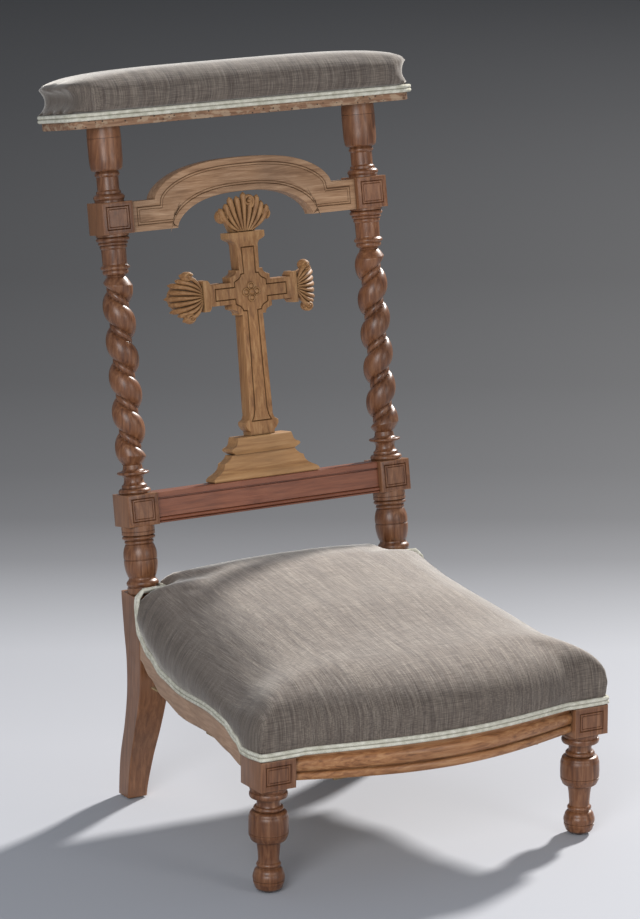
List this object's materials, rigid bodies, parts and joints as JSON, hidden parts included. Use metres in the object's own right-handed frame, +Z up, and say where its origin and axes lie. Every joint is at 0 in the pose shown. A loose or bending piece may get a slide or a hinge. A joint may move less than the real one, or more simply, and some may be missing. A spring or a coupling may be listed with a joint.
{
  "type": "kneeling bench",
  "caption": "Low prie-dieu chair: twist-turned raked back posts, arched rail, carved cross with palmettes, padded arm rest and a low bowed seat on turned front legs",
  "frame": {"origin": "centre of the footprint of the bounding box, on the floor", "axes": "+Z up; -Y is the front of the chair, where the bowed seat edge is; +X is the viewer right when facing the front"},
  "size_m": [0.509, 0.6509, 0.9213],
  "materials": {
    "bare_board": "unfinished board edge with old tack holes",
    "beech": "unfinished beech",
    "dry_walnut": "dry carved walnut with little wax",
    "hessian": "open plain-weave hessian",
    "iron": "dark domed iron glide",
    "jute_webbing": "woven jute webbing",
    "linen": "slubby taupe linen weave",
    "pale_walnut": "dry pale walnut, slightly faded",
    "polished_walnut": "waxed walnut, mid brown with dark grooves and soft highlights",
    "red_walnut": "waxed reddish walnut",
    "welt_cord": "pale double welt cord"
  },
  "bodies": {
    "root": {"arched_upper_rail": "dry_walnut", "arm_rest_board": "bare_board", "arm_rest_pad": "linen", "arm_rest_welt": "welt_cord", "back_post_left": "polished_walnut", "back_post_right": "polished_walnut", "back_rail": "beech", "corner_brace_left": "beech", "corner_brace_right": "beech", "cross_bar": "dry_walnut", "cross_foot_base": "dry_walnut", "cross_foot_step": "dry_walnut", "cross_rosette": "dry_walnut", "cross_upright": "dry_walnut", "front_leg_left": "polished_walnut", "front_leg_right": "polished_walnut", "front_rail": "polished_walnut", "glide_front_left": "iron", "glide_front_right": "iron", "glide_rear_left": "iron", "glide_rear_right": "iron", "lower_cross_rail": "red_walnut", "palmette_left": "dry_walnut", "palmette_right": "dry_walnut", "palmette_top": "dry_walnut", "seat_hessian": "hessian", "seat_pad": "linen", "seat_welt": "welt_cord", "seat_welt_rear": "welt_cord", "side_rail_left": "pale_walnut", "side_rail_right": "pale_walnut", "webbing_crosswise_1": "jute_webbing", "webbing_crosswise_2": "jute_webbing", "webbing_crosswise_3": "jute_webbing", "webbing_lengthwise_1": "jute_webbing", "webbing_lengthwise_2": "jute_webbing", "webbing_lengthwise_3": "jute_webbing", "webbing_lengthwise_4": "jute_webbing"}
  },
  "joints": []
}
